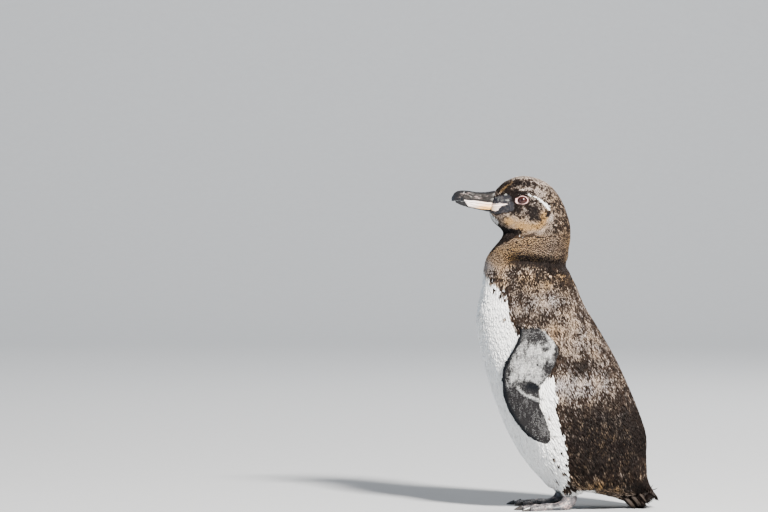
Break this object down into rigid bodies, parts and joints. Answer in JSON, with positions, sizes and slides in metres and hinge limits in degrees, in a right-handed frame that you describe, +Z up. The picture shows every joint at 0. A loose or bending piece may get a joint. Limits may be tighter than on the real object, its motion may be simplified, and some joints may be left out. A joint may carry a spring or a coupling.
{
  "type": "standing penguin",
  "caption": "Life-size Galapagos penguin standing upright in profile, flippers hanging, feet and tail tip on the floor.",
  "frame": {"origin": "on the floor, below the middle of the bird's bounding box", "axes": "+Z up, the bird faces -X, and its left side faces -Y"},
  "size_m": [0.2598, 0.1538, 0.4155],
  "materials": {
    "feathers": "matte",
    "flipper_feathers": "matte",
    "tail_quills": "matte",
    "foot_skin": "satin",
    "claw_horn": "satin",
    "bill_horn": "satin",
    "eye_gloss": "gloss"
  },
  "bodies": {
    "root": {"head": "feathers", "neck": "feathers", "breast": "feathers", "belly": "feathers", "rump": "feathers", "tail": "tail_quills", "flipper_arm_left": "flipper_feathers", "flipper_arm_right": "flipper_feathers", "flipper_blade_left": "flipper_feathers", "flipper_blade_right": "flipper_feathers", "shank_left": "feathers", "shank_right": "feathers", "foot_left": "foot_skin", "foot_right": "foot_skin", "claw_inner_left": "claw_horn", "claw_middle_left": "claw_horn", "claw_outer_left": "claw_horn", "claw_hallux_left": "claw_horn", "claw_inner_right": "claw_horn", "claw_middle_right": "claw_horn", "claw_outer_right": "claw_horn", "claw_hallux_right": "claw_horn", "bill_upper": "bill_horn", "bill_lower": "bill_horn", "eye_left": "eye_gloss", "eye_right": "eye_gloss"}
  },
  "joints": []
}
